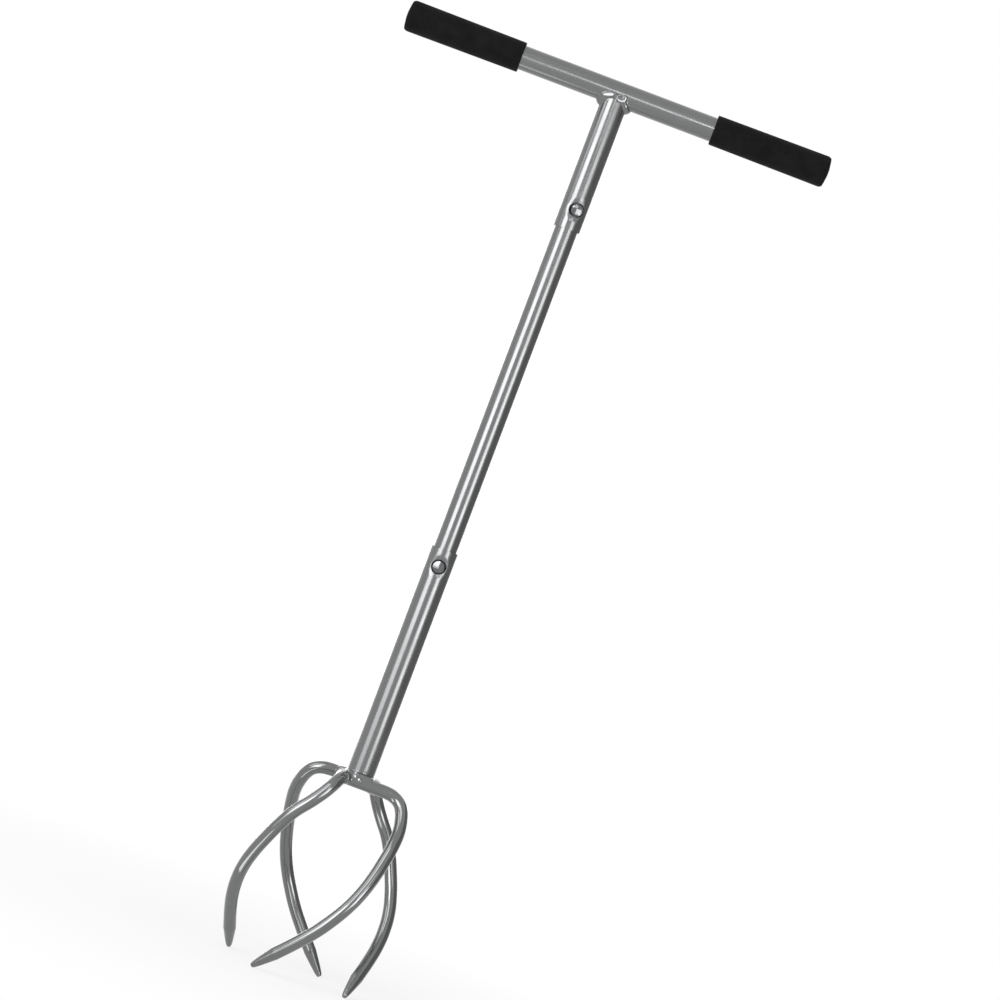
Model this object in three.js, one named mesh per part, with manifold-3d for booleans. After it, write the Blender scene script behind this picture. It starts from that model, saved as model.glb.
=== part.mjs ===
// Twist tiller: a T handle on a three-piece tube shaft, with four curled tines under it.
// Millimetres, +Z up, X along the handle's crossbar. The origin is on the ground, on the shaft's axis.
// The tool stands upright on the points of its tines. Its snap buttons face -Y, the upper one turned
// a little towards +X.
import * as THREE from 'three';
import { mergeVertices } from 'three/addons/utils/BufferGeometryUtils.js';
import Module from 'manifold-3d';

const wasm = await Module();
wasm.setup();

// Fits: the gap between two pieces that touch on the real tool, the slack between the sliding
// tube and its sockets, and how far a cutting shape runs past what it cuts.
const seatGap = 0.3;
const slideGap = 0.25;
const overrun = 2;

// Handle: a round crossbar with a foam grip pushed on each end.
const crossbarDiameter = 25;
const crossbarWall = 1.5;
const crossbarLength = 443;
const gripLength = 123.5;
const gripEndThickness = 5;
const gripMouthDiameter = 31.2;
const gripEndDiameter = 32.6;
const gripMouthRound = 0.9;
const gripEndRound = 6;

// Shaft: a middle tube that slides into an upper and a lower socket tube.
const middleDiameter = 24;
const middleWall = 1.5;
const middleShown = 345.7;
const socketWall = 1.75;
const upperReach = 146.3;
const lowerTubeLength = 242;
const insertion = 54;
const upperButtonInset = 21;
const lowerButtonInset = 18.2;

// The upper tube's end is notched to saddle the crossbar, and its two ears stop below the bar's axis.
const earDrop = 5;

// Snap clips: a domed button on a folded leaf spring inside the middle tube.
const buttonDiameter = 12.4;
const buttonSlack = 0.45;
const buttonProud = 3.2;
const buttonDome = 3.4;
const upperClipTurnDegrees = 12;
const leafWidth = 13.2;
const leafThickness = 0.9;
const leafFlat = 18;
const leafLength = 44;
const leafFoldRadius = 2.6;

// Tines: round bars whose straight roots lie in a pinwheel round the shaft's axis.
const tineCount = 4;
const barDiameter = 13.1;
const rootOffset = 17.2;
const curlReach = 85;
const curlDrop = 185.5;
const pointLength = 27;
const pointDiameter = 3.8;

// A tine's centreline. The root's points are shares of curlReach along its straight line. Each row
// of the curl is outwards and sideways as shares of curlReach, and down as a share of curlDrop.
const rootShares = [0.1, 0.24, 0.36];
const curlShares = [
  [0.473, 0.206, 0.009],
  [0.552, 0.226, 0.029],
  [0.605, 0.262, 0.06],
  [0.642, 0.318, 0.103],
  [0.668, 0.418, 0.168],
  [0.659, 0.56, 0.252],
  [0.624, 0.674, 0.346],
  [0.577, 0.767, 0.441],
  [0.509, 0.848, 0.537],
  [0.417, 0.903, 0.63],
  [0.298, 0.923, 0.723],
  [0.166, 0.912, 0.811],
  [0.021, 0.878, 0.892],
  [-0.189, 0.813, 1],
];

// Weld beads: a leg is how far a fillet runs along each surface that it joins, and a crown is half
// the bead's height at the front and back of a saddle, where the two tubes part.
const handleWeldLeg = 6.5;
const handleWeldCrown = 3.2;
const cornerWeldLeg = 4.8;
const cornerWeldCrown = 3.4;
const footWeldLeg = 4;

// How finely the round shapes are cut.
const tubeSides = 40;
const barSides = 12;
const rootSides = 16;
const tineSteps = 46;
const buttonSides = 20;
const roundSteps = 5;
const leafSteps = 26;
const weldSides = 4;
const cornerWeldSteps = 24;

// Sizes that follow from the ones above.
const crossbarRadius = crossbarDiameter / 2;
const middleRadius = middleDiameter / 2;
const middleBore = middleRadius - middleWall;
const middleLength = middleShown + 2 * insertion;
const socketBore = middleRadius + slideGap;
const socketRadius = socketBore + socketWall;
const barRadius = barDiameter / 2;
const buttonRadius = buttonDiameter / 2;
const buttonTop = socketRadius + buttonProud;
const leafFace = Math.sqrt(middleBore ** 2 - (leafWidth / 2) ** 2) - seatGap;
const rootStart = barRadius + seatGap - rootOffset;

// Heights above the plane of the tine roots, on the shaft's axis.
const footHeight = barRadius + seatGap;
const lowerMouthHeight = footHeight + lowerTubeLength;
const upperMouthHeight = lowerMouthHeight + middleShown;
const crossbarHeight = upperMouthHeight + upperReach;
const upperButtonHeight = upperMouthHeight + upperButtonInset;
const lowerButtonHeight = lowerMouthHeight - lowerButtonInset;
const upperClipTurn = THREE.MathUtils.degToRad(upperClipTurnDegrees);

const paintedTube = { color: 0x7a7b7c, roughness: 0.3, metalness: 0.8 };
const paintedBar = { color: 0x6e6f70, roughness: 0.34, metalness: 0.75 };
const weldMetal = { color: 0x86878a, roughness: 0.3, metalness: 0.8 };
const springSteel = { color: 0x8d9096, roughness: 0.35, metalness: 0.9 };
const brightPlate = { color: 0xd4d6da, roughness: 0.12, metalness: 1 };
const blackFoam = { color: 0x121213, roughness: 0.9, metalness: 0 };

function toSolid(geometry) {
  const bare = geometry.clone();
  bare.deleteAttribute('normal');
  bare.deleteAttribute('uv');
  const merged = mergeVertices(bare);
  const vertProperties = new Float32Array(merged.attributes.position.array);
  const triVerts = new Uint32Array(merged.index.array);
  return new wasm.Manifold(new wasm.Mesh({ numProp: 3, vertProperties, triVerts }));
}

function toGeometry(solid) {
  const mesh = solid.getMesh();
  const geometry = new THREE.BufferGeometry();
  geometry.setAttribute('position', new THREE.BufferAttribute(mesh.vertProperties, mesh.numProp));
  geometry.setIndex(new THREE.BufferAttribute(mesh.triVerts, 1));
  return geometry;
}

function cut(body, ...cutters) {
  return toGeometry(cutters.reduce((left, cutter) => left.subtract(toSolid(cutter)), toSolid(body)));
}

function named(name, geometry, finish) {
  const mesh = new THREE.Mesh(geometry, new THREE.MeshStandardMaterial(finish));
  mesh.name = name;
  return mesh;
}

// A solid of revolution about Z. The outline's points are [distance from the axis, height].
function turned(outline, sides) {
  const points = outline.map(([distance, height]) => new THREE.Vector2(distance, height));
  return new THREE.LatheGeometry(points, sides).rotateX(Math.PI / 2);
}

function tube(radius, bore, low, high) {
  return turned([[bore, low], [radius, low], [radius, high], [bore, high], [bore, low]], tubeSides);
}

function rod(radius, low, high, sides = tubeSides) {
  return turned([[0, low], [radius, low], [radius, high], [0, high]], sides);
}

function quarterRound(centreDistance, centreHeight, across, up) {
  return Array.from({ length: roundSteps + 1 }, (_, step) => {
    const angle = (step / roundSteps) * (Math.PI / 2);
    return [centreDistance + across * Math.cos(angle), centreHeight + up * Math.sin(angle)];
  });
}

// The ring of weld where a branch tube along Z meets, from below, a run tube along X. Its section
// is a diamond, so that a flat fillet shows once both tubes are cut out of it.
function saddleBead(branchRadius, runRadius, leastDrop, leg, crown, steps) {
  const ring = new THREE.TorusGeometry(branchRadius, leg, weldSides, steps);
  const place = ring.attributes.position;
  for (let i = 0; i < place.count; i += 1) {
    const x = place.getX(i);
    const y = place.getY(i);
    const distance = Math.hypot(x, y);
    const across = y / distance;
    const drop = Math.sqrt(Math.max(runRadius ** 2 - (branchRadius * across) ** 2, leastDrop ** 2));
    const thickness = THREE.MathUtils.lerp(1, crown / leg, across ** 2);
    const spread = (branchRadius + (distance - branchRadius) * thickness) / distance;
    place.setXYZ(i, x * spread, y * spread, place.getZ(i) * thickness - drop);
  }
  return ring;
}

// A cutter that clears a round hole through the front wall of a tube, at one height. The hole can be
// turned about the tube's axis, to the right as seen from the front.
function buttonHole(height, turn = 0) {
  const reach = socketRadius + overrun;
  const hole = rod(buttonRadius + buttonSlack, 0, reach, buttonSides);
  return hole.rotateX(Math.PI / 2).rotateZ(turn).translate(0, 0, height);
}

// Handle pieces, in a frame whose origin is on the crossbar's axis.

function crossbarTube() {
  const half = crossbarLength / 2;
  return tube(crossbarRadius, crossbarRadius - crossbarWall, -half, half).rotateY(Math.PI / 2);
}

// A closed-end grip along +X, thicker and rounded at its closed end.
function grip() {
  const boreDepth = gripLength - gripEndThickness;
  const boreRadius = crossbarRadius + seatGap;
  const mouthRadius = gripMouthDiameter / 2;
  const endRadius = gripEndDiameter / 2;
  const outline = [
    [0, boreDepth],
    [boreRadius, boreDepth],
    [boreRadius, 0],
    [mouthRadius - gripMouthRound, 0],
    [mouthRadius, gripMouthRound],
    ...quarterRound(endRadius - gripEndRound, gripLength - gripEndRound, gripEndRound, gripEndRound),
    [0, gripLength],
  ];
  const mouth = crossbarLength / 2 + seatGap - boreDepth;
  return turned(outline, tubeSides).rotateY(Math.PI / 2).translate(mouth, 0, 0);
}

function upperTube() {
  const blank = tube(socketRadius, socketBore, -upperReach, -earDrop);
  const notch = rod(crossbarRadius + seatGap, -crossbarLength / 2, crossbarLength / 2).rotateY(Math.PI / 2);
  return cut(blank, notch, buttonHole(upperButtonInset - upperReach, upperClipTurn));
}

function handleWeld() {
  const bead = saddleBead(socketRadius, crossbarRadius, earDrop, handleWeldLeg, handleWeldCrown, tubeSides);
  const bar = rod(crossbarRadius + seatGap, -crossbarLength / 2, crossbarLength / 2).rotateY(Math.PI / 2);
  return cut(bead, bar, rod(socketRadius + seatGap, -upperReach, seatGap - earDrop));
}

// Shaft pieces.

function middleTube() {
  const low = lowerMouthHeight - insertion;
  const blank = tube(middleRadius, middleBore, low, low + middleLength);
  return cut(blank, buttonHole(lowerButtonHeight), buttonHole(upperButtonHeight, upperClipTurn));
}

// Clip pieces, in a frame whose origin is on the shaft's axis level with the button, with the
// button towards -Y and the near end of the middle tube towards +Z.

function snapButton() {
  const outline = [
    [0, leafFace + seatGap],
    [buttonRadius, leafFace + seatGap],
    ...quarterRound(0, buttonTop - buttonDome, buttonRadius, buttonDome).slice(0, -1),
    [0, buttonTop],
  ];
  return turned(outline, buttonSides).rotateX(Math.PI / 2);
}

function snapSpring() {
  const leg = leafFace - leafThickness / 2;
  const free = leafFlat / 2;
  const fold = free - leafLength;
  const neck = fold + leafFoldRadius;
  const route = [
    [-leg, free],
    [-leg, 0],
    [-leg, -free],
    [-leafFoldRadius, neck],
    [0, fold],
    [leafFoldRadius, neck],
    [leg, -free],
    [leg, 0],
    [leg, free],
  ];
  const path = new THREE.CatmullRomCurve3(route.map(([y, z]) => new THREE.Vector3(0, y, z)));
  const halfWidth = leafWidth / 2;
  const halfThickness = leafThickness / 2;
  const section = new THREE.Shape([
    new THREE.Vector2(-halfThickness, -halfWidth),
    new THREE.Vector2(halfThickness, -halfWidth),
    new THREE.Vector2(halfThickness, halfWidth),
    new THREE.Vector2(-halfThickness, halfWidth),
  ]);
  return new THREE.ExtrudeGeometry(section, { steps: leafSteps, extrudePath: path });
}

// Head pieces, in a frame whose origin is in the plane of the tine roots.

function lowerTube() {
  return cut(tube(socketRadius, socketBore, footHeight, lowerMouthHeight), buttonHole(lowerButtonHeight));
}

// One tine, whose root runs along +X in front of the shaft.
function tinePath() {
  const root = [rootStart, ...rootShares.map((share) => share * curlReach)];
  const points = root.map((x) => new THREE.Vector3(x, -rootOffset, 0));
  for (const [out, side, down] of curlShares) {
    points.push(new THREE.Vector3(out * curlReach, -side * curlReach, -down * curlDrop));
  }
  const [before, last] = points.slice(-2);
  const heading = last.clone().sub(before).normalize();
  points.push(last.clone().addScaledVector(heading, pointLength));
  return new THREE.CatmullRomCurve3(points);
}

function tine() {
  const path = tinePath();
  const corners = Array.from({ length: barSides }, (_, side) => {
    const angle = (side / barSides) * 2 * Math.PI;
    return new THREE.Vector2(barRadius * Math.cos(angle), barRadius * Math.sin(angle));
  });
  const bar = new THREE.ExtrudeGeometry(new THREE.Shape(corners), { steps: tineSteps, extrudePath: path });
  narrowToPoint(bar, path);
  return bar;
}

// Draws the bar's last rings in towards its centreline, so that it ends in a blunt cone.
function narrowToPoint(bar, path) {
  const centres = path.getSpacedPoints(tineSteps);
  const spacing = path.getLength() / tineSteps;
  const place = bar.attributes.position;
  const at = new THREE.Vector3();
  for (let i = 0; i < place.count; i += 1) {
    at.fromBufferAttribute(place, i);
    let ring = 0;
    centres.forEach((centre, n) => {
      if (centre.distanceToSquared(at) < centres[ring].distanceToSquared(at)) ring = n;
    });
    const along = Math.min(((tineSteps - ring) * spacing) / pointLength, 1);
    const radiusShare = THREE.MathUtils.lerp(pointDiameter / barDiameter, 1, along);
    at.sub(centres[ring]).multiplyScalar(radiusShare).add(centres[ring]);
    place.setXYZ(i, at.x, at.y, at.z);
  }
}

// The bars that a weld at the roots has to clear: a tine's own root, and the one that it ends at.
function ownRoot() {
  const bar = rod(barRadius + seatGap, rootStart - seatGap, curlReach, rootSides);
  return bar.rotateY(Math.PI / 2).translate(0, -rootOffset, 0);
}

function neighbourRoot() {
  const bar = rod(barRadius + seatGap, -curlReach, -rootStart, rootSides);
  return bar.rotateX(-Math.PI / 2).translate(-rootOffset, 0, 0);
}

// The weld round the end of a tine's root, where it meets the side of the next root.
function cornerWeld() {
  const leastDrop = barRadius + seatGap - cornerWeldLeg / 2;
  const bead = saddleBead(barRadius, barRadius, leastDrop, cornerWeldLeg, cornerWeldCrown, cornerWeldSteps);
  bead.rotateZ(Math.PI / 2).rotateY(-Math.PI / 2).translate(-rootOffset, -rootOffset, 0);
  const footRoom = rod(socketRadius + footWeldLeg + seatGap, barRadius - seatGap, footHeight + cornerWeldLeg);
  return cut(bead, ownRoot(), neighbourRoot(), footRoom);
}

// The fillet round the lower tube's foot, where it stands on the four roots.
function footWeld() {
  const ring = new THREE.TorusGeometry(socketRadius, footWeldLeg, weldSides, tubeSides);
  const roots = Array.from({ length: tineCount }, (_, n) => ownRoot().rotateZ((n / tineCount) * 2 * Math.PI));
  const below = rod(socketRadius + 2 * footWeldLeg, -footHeight, barRadius);
  const shaft = rod(socketRadius + seatGap, -footHeight, lowerMouthHeight);
  return cut(ring.translate(0, 0, footHeight), below, shaft, ...roots);
}

const tool = new THREE.Group();

const handle = new THREE.Group();
handle.position.z = crossbarHeight;
const farGrip = named('grip_left', grip(), blackFoam);
farGrip.rotation.z = Math.PI;
handle.add(
  named('crossbar_tube', crossbarTube(), paintedTube),
  farGrip,
  named('grip_right', grip(), blackFoam),
  named('upper_tube', upperTube(), paintedTube),
  named('handle_weld', handleWeld(), weldMetal),
);
tool.add(handle);

tool.add(named('middle_tube', middleTube(), paintedTube));

const upperClip = new THREE.Group();
upperClip.position.z = upperButtonHeight;
upperClip.rotation.z = upperClipTurn;
upperClip.add(
  named('upper_snap_spring', snapSpring(), springSteel),
  named('upper_snap_button', snapButton(), brightPlate),
);
const lowerClip = new THREE.Group();
lowerClip.position.z = lowerButtonHeight;
lowerClip.rotation.y = Math.PI;
lowerClip.add(
  named('lower_snap_spring', snapSpring(), springSteel),
  named('lower_snap_button', snapButton(), brightPlate),
);
tool.add(upperClip, lowerClip);

const head = new THREE.Group();
head.add(named('lower_tube', lowerTube(), paintedTube), named('foot_weld', footWeld(), weldMetal));
for (let n = 0; n < tineCount; n += 1) {
  const quarter = new THREE.Group();
  quarter.rotation.z = (n / tineCount) * 2 * Math.PI;
  quarter.add(
    named(`tine_${n + 1}`, tine(), paintedBar),
    named(`corner_weld_${n + 1}`, cornerWeld(), weldMetal),
  );
  head.add(quarter);
}
tool.add(head);

tool.position.z = -new THREE.Box3().setFromObject(head, true).min.z;

export default tool;
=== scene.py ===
# Looks of a twist tiller: a T handle on a three-piece tube shaft, with four curled tines under it.
# Metres, +Z up, X along the handle's crossbar. The tool stands upright on the points of its tines,
# the shaft's axis is the Z axis, and the snap buttons face -Y.
import math

import bpy
from mathutils import Matrix, Vector


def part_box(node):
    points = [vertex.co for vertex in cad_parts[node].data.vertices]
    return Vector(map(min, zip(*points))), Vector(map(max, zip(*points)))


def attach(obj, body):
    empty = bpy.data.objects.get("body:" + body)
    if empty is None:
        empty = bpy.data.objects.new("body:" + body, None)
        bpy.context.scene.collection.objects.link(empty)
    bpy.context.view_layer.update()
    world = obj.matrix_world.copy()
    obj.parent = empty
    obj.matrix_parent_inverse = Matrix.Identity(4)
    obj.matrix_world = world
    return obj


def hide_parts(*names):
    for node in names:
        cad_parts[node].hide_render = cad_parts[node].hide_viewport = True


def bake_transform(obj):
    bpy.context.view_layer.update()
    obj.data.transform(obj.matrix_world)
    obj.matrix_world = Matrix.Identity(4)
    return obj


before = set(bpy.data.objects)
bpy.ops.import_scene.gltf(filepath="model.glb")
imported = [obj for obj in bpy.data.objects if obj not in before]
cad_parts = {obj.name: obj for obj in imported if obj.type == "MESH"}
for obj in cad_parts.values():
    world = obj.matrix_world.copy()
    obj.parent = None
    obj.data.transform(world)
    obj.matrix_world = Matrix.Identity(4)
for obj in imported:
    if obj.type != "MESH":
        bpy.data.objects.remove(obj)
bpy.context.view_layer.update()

MM = 0.001
# How far from a plane a corner of a mesh may lie and still count as on it.
NEAR = 0.01 * MM

# Tubes
TUBE_SIDES = 96
HOLE_SIDES = 64
SOCKET_RADIUS = 14 * MM
SOCKET_WALL = 1.75 * MM
MIDDLE_WALL = 1.5 * MM
CROSSBAR_RADIUS = 12.5 * MM
CROSSBAR_WALL = 1.5 * MM
HOLE_RADIUS = 7.5 * MM
SOCKET_HOLE_RADIUS = 7.8 * MM
DENT_DEPTH = 1 * MM
DENT_REACH = 5 * MM
# The share of a hole's radius within which its wall is pressed in fully.
DENT_SHARE = 0.9
# How far under the outside of a wall its inside is told from it.
WALL_SKIN = 0.2 * MM
RING_STEP_MM = 1.5
RINGS_EACH_WAY = 12
RIM_ROUND = 0.3 * MM

# Snap buttons. The upper clip sits turned to the right of the lower one, and the tops are a bit crooked.
CLIP_TURN = math.radians(12)
DOME_SIDES = 64
DOME_RINGS = 144
DOME_CURVE = 30 * MM
DOME_SHOULDER = 1.8 * MM
DOME_NOD = math.radians(1)
LOWER_DOME_TURN = math.radians(10.5)
# How deep the tipped top of a button reaches, where it turns, and how far it moves back for each radian.
TOP_DEPTH = 2.8 * MM
TOP_PIVOT = 2 * MM
TOP_SHIFT_MM = 2.5

# Leaf springs under the snap buttons
LEAF_WIDTH = 13.2 * MM
LEAF_THICKNESS = 0.9 * MM
LEAF_REACH = 7.4 * MM
LEAF_FLAT = 18 * MM
LEAF_LENGTH = 44 * MM
LEAF_FOLD = 2.6 * MM
LEAF_BEND = 3 * MM
LEAF_SIDES = 32
LEAF_EDGE_ROUND = 0.15 * MM

# Grips
MOUTH_RADIUS = 15.6 * MM
MOUTH_ROUND = 0.9 * MM
END_RADIUS = 16.3 * MM
END_ROUND = 6 * MM
END_CROWN = 0.3 * MM
# The grip's closed end is crowned in steps: what lies outside each of these shares of its flat moves back.
END_CROWN_SHARES = (0.95, 0.7, 0.45)
END_INSETS = 3
END_INSET = 2 * MM
END_BAND = 1.5 * MM
END_WALL = 5 * MM
# The share of a grip's length that counts as its end or its mouth.
END_SHARE = 0.01
GRIP_BORE = 12.8 * MM

# Tines
BAR_RADIUS = 6.55 * MM
BAR_STEPS = 14
ROOT_OFFSET = 17.2 * MM
SEAT_GAP = 0.3 * MM
CURL_REACH = 85 * MM
CURL_DROP = 185.5 * MM
POINT_LENGTH = 27 * MM
POINT_RADIUS = 2.45 * MM
# How far before its end the point is how thick, both as shares of its radius.
POINT_ROUND_SHARES = ((0.4, 0.98), (0.15, 0.92), (0.04, 0.82), (0, 0.68))
ROOT_SHARES = (0.1, 0.24, 0.36)
# Outwards and sideways as shares of the reach, and down as a share of the drop.
CURL_SHARES = (
    (0.473, 0.206, 0.009),
    (0.552, 0.226, 0.029),
    (0.605, 0.262, 0.06),
    (0.642, 0.318, 0.103),
    (0.668, 0.418, 0.168),
    (0.659, 0.56, 0.252),
    (0.624, 0.674, 0.346),
    (0.577, 0.767, 0.441),
    (0.509, 0.848, 0.537),
    (0.417, 0.903, 0.63),
    (0.298, 0.923, 0.723),
    (0.166, 0.912, 0.811),
    (0.021, 0.878, 0.892),
    (-0.189, 0.813, 1),
)

# Welds. The rows of lumps and dabs, the ridge and the corner's room are in millimetres.
EAR_DROP = 5 * MM
HANDLE_WELD_LEG = 6.5 * MM
HANDLE_WELD_CROWN = 2.2 * MM
CORNER_WELD_LEG = 4.8 * MM
CORNER_WELD_CROWN = 3.4 * MM
HANDLE_LUMPS = 26
CORNER_LUMPS = 14
FOOT_LUMPS = 24
BEAD_SINK = 0.05 * MM
BEAD_GRAIN = 0.4 * MM
# How many rounds of smoothing let each bead flow.
BEAD_FLOW = 70
FOOT_FLOW = 40
CORNER_FLOW = 110
DAB_FLOW = 9
# Lumps in the step between the foot of the socket and the bar in front of it: how far along Y and up from
# the foot, how broad, how thick, and how far they look up.
FRONT_FILL = ((-16, 0.2, 3.6, 1.9, 90), (-18.4, -0.2, 2.5, 2.4, 60), (-19.9, -2.2, 3.6, 1.7, 34))
FRONT_FILL_STEP = 2.6
FOOT_LUMP_LENGTH = 4.4
# Dabs on the foot's weld: their place, the bearing and height that they face, and their sizes.
FOOT_DABS = (
    ((-4.6, -19.7, 0.9), (-18.5, 8.4), (2.4, 2.2, 0.8)),
    ((-3.8, -22, -3), (-18.5, 8.4), (2.2, 3.2, 0.6)),
    ((0.9, -22.9, -4.2), (-18.5, 8.4), (2, 2.5, 0.6)),
    ((0.9, -20, -0.4), (-18.5, 8.4), (1.8, 2.2, 0.8)),
    ((4.6, -14.6, 2.6), (16, 6), (2.2, 3.2, 0.7)),
)
# The line of the curved ridge at the right of the handle's weld, right of and above the crossbar's axis.
RIDGE_LINE = ((2.5, -6.7), (5.7, -6.9), (8.8, -6.1), (9.3, -2.9), (7.9, -0.9))
RIDGE_STEP = 1.2
RIDGE_LUMP = (1.8, 2.2, 0.7)
RIDGE_OUT = (0.274, -0.955, -0.113)
# The middle and the half size of the room that holds the first corner's bead.
CORNER_MIDDLE = (-10.5 * MM, -19 * MM)
CORNER_ROOM = (8, 7, 9)

# Lamps and camera
LAMP_DISTANCE = 2.4
STRIP_SIZE = (0.08, 0.26)
STRIP_PLACE = (-0.12, -0.21, 0.004)
CAMERA_LENS = 168.6
CAMERA_LEAN = math.radians(20.72)
CAMERA_ASIDE = 33.9 * MM
CAMERA_AWAY = 4.724
CAMERA_UNDER_BAR = 425.3 * MM

FOOT_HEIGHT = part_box("lower_tube")[0].z
ROOT_HEIGHT = FOOT_HEIGHT - BAR_RADIUS - SEAT_GAP
CROSSBAR_HEIGHT = (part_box("crossbar_tube")[0].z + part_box("crossbar_tube")[1].z) / 2


# Work at the bench


def hold(*pieces):
    """Select only these pieces, the first one active."""
    bpy.ops.object.select_all(action="DESELECT")
    for piece in pieces:
        piece.select_set(True)
    bpy.context.view_layer.objects.active = pieces[0]


def take(name):
    """Name the piece just added, and put its place, turn and scale into its mesh."""
    piece = bpy.context.active_object
    piece.name = name
    piece.data.name = name
    hold(piece)
    bpy.ops.object.transform_apply(location=True, rotation=True, scale=True)
    return piece


def finish_with(piece, kind, **settings):
    """Add a modifier to a piece and apply it."""
    hold(piece)
    modifier = piece.modifiers.new(kind.title(), kind)
    for name, value in settings.items():
        setattr(modifier, name, value)
    bpy.ops.object.modifier_apply(modifier=modifier.name)


def pick(piece, wanted, kind="VERT"):
    """Open a piece for editing with only the wanted vertices, edges or faces selected, by their middle."""
    hold(piece)
    bpy.ops.object.mode_set(mode="EDIT")
    bpy.ops.mesh.reveal(select=False)
    bpy.ops.mesh.select_mode(type=kind)
    bpy.ops.mesh.select_all(action="DESELECT")
    bpy.ops.object.mode_set(mode="OBJECT")
    points = piece.data.vertices
    if kind == "VERT":
        for point in points:
            point.select = wanted(point.co)
    elif kind == "EDGE":
        for edge in piece.data.edges:
            edge.select = all(wanted(points[i].co) for i in edge.vertices)
    else:
        for face in piece.data.polygons:
            face.select = wanted(face.center)
    bpy.ops.object.mode_set(mode="EDIT")


def close():
    """Leave editing."""
    bpy.ops.object.mode_set(mode="OBJECT")


def smooth(piece, degrees=32):
    """Smooth shading that leaves long straight walls straight beside their small rounded edges."""
    hold(piece)
    bpy.ops.object.shade_smooth_by_angle(angle=math.radians(degrees))
    finish_with(piece, "WEIGHTED_NORMAL", keep_sharp=True)


def cut_with(piece, cutter):
    finish_with(piece, "BOOLEAN", object=cutter, operation="DIFFERENCE", solver="EXACT")
    bpy.data.objects.remove(cutter)


def round_edges(piece, width, segments=3, degrees=40):
    finish_with(
        piece,
        "BEVEL",
        width=width,
        segments=segments,
        limit_method="ANGLE",
        angle_limit=math.radians(degrees),
    )


def twin(piece, name, turn=0.0, shift=(0, 0, 0)):
    """A copy with its own mesh, turned about the Z axis and then shifted."""
    hold(piece)
    bpy.ops.object.duplicate()
    copy = bpy.context.active_object
    copy.rotation_euler.z = turn
    copy.location = shift
    return take(name)


def dress(piece, finish):
    piece.data.materials.clear()
    piece.data.materials.append(finish)


def fit(piece, body, node, finish):
    """Put a finished piece on its body, in place of its plain solid."""
    dress(piece, finish)
    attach(piece, body)
    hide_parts(node)


# Tubes


def tube_blank(name, node, radius, wall, along="Z"):
    """A length of round tube, open at both ends."""
    low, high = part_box(node)
    turn = (0, math.pi / 2, 0) if along == "X" else (0, 0, 0)
    length = (high - low).x if along == "X" else (high - low).z
    bpy.ops.mesh.primitive_cylinder_add(
        vertices=TUBE_SIDES,
        radius=radius,
        depth=length,
        end_fill_type="NOTHING",
        location=(low + high) / 2,
        rotation=turn,
    )
    piece = take(name)
    finish_with(piece, "SOLIDIFY", thickness=wall, offset=-1, use_even_offset=True)
    return piece


def add_rings(piece, heights):
    """Cut the tube's long facets into short ones where its wall will be worked."""
    hold(piece)
    bpy.ops.object.mode_set(mode="EDIT")
    for height in heights:
        bpy.ops.mesh.select_all(action="SELECT")
        bpy.ops.mesh.bisect(plane_co=(0, 0, height), plane_no=(0, 0, 1))
    close()


def press_wall(piece, height, radius):
    """Push in the outside of the front wall round the place of a hole, as a punch does."""
    inner = radius - WALL_SKIN
    pick(piece, lambda at: math.hypot(at.x, at.y) < inner or at.y > 0, "FACE")
    bpy.ops.mesh.hide(unselected=False)
    bpy.ops.object.mode_set(mode="OBJECT")
    middle = Vector((0, -radius, height))
    for point in piece.data.vertices:
        near = (point.co - middle).length < SOCKET_HOLE_RADIUS * DENT_SHARE
        point.select = near and not point.hide
    bpy.ops.object.mode_set(mode="EDIT")
    bpy.ops.mesh.select_mode(type="VERT")
    bpy.ops.transform.translate(
        value=(0, DENT_DEPTH, 0),
        use_proportional_edit=True,
        proportional_edit_falloff="LINEAR",
        proportional_size=DENT_REACH,
    )
    bpy.ops.mesh.reveal(select=False)
    close()


def punch_hole(piece, height, radius, turn=0.0):
    """A round hole through the front wall, or through the wall turned to the right of the front."""
    reach = SOCKET_RADIUS * 1.2
    bpy.ops.mesh.primitive_cylinder_add(
        vertices=HOLE_SIDES,
        radius=radius,
        depth=reach,
        location=(math.sin(turn) * reach / 2, -math.cos(turn) * reach / 2, height),
        rotation=(math.pi / 2, 0, turn),
    )
    cut_with(piece, take("punch"))


def near_rings(height):
    return [height + n * RING_STEP_MM * MM for n in range(-RINGS_EACH_WAY, RINGS_EACH_WAY + 1)]


def button_height(button):
    return (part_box(button)[0].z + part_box(button)[1].z) / 2


def socket_tube(name, node, button):
    """An outer tube, with its wall pressed in a little round the hole of its snap button."""
    height = button_height(button)
    piece = tube_blank(name, node, SOCKET_RADIUS, SOCKET_WALL)
    low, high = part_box(node)
    add_rings(piece, [ring for ring in near_rings(height) if low.z < ring < high.z])
    press_wall(piece, height, SOCKET_RADIUS)
    punch_hole(piece, height, SOCKET_HOLE_RADIUS)
    return piece


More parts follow.
